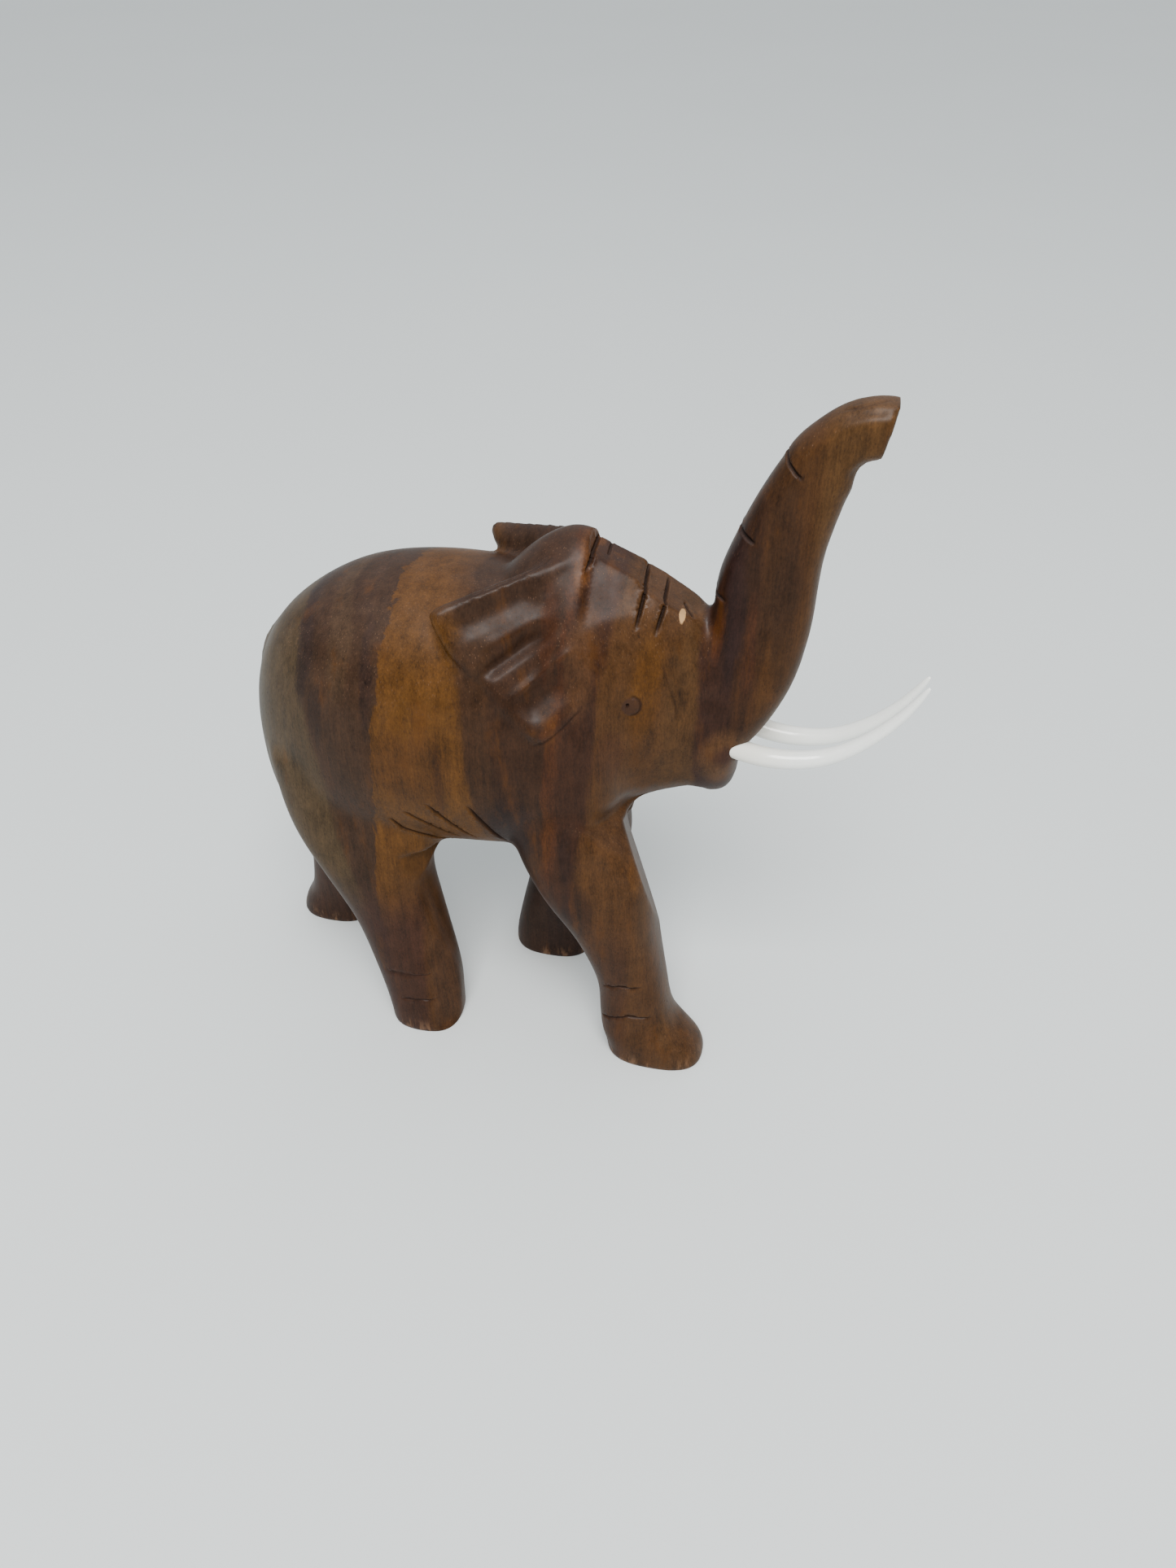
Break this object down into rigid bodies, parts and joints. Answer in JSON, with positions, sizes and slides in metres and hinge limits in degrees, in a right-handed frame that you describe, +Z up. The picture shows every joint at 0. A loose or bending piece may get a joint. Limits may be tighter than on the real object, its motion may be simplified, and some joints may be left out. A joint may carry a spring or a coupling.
{
  "type": "carved elephant figurine",
  "caption": "Striding elephant carved from one block of wood, trunk raised, with slender curved tusks glued into blind sockets.",
  "frame": {"origin": "centre of the whole object's footprint, on the plane of the four soles", "axes": "+X towards the head and tusks, +Y to the animal's left, +Z up"},
  "size_m": [0.1642, 0.0536, 0.174],
  "materials": {
    "body_wood": "satin varnish over dark striped hardwood",
    "tusk_plastic": "glossy white",
    "glue": "hardened amber glue"
  },
  "bodies": {
    "root": {"carved_body": "body_wood", "tusk_right": "tusk_plastic", "tusk_left": "tusk_plastic", "glue_right": "glue", "glue_left": "glue"}
  },
  "joints": []
}
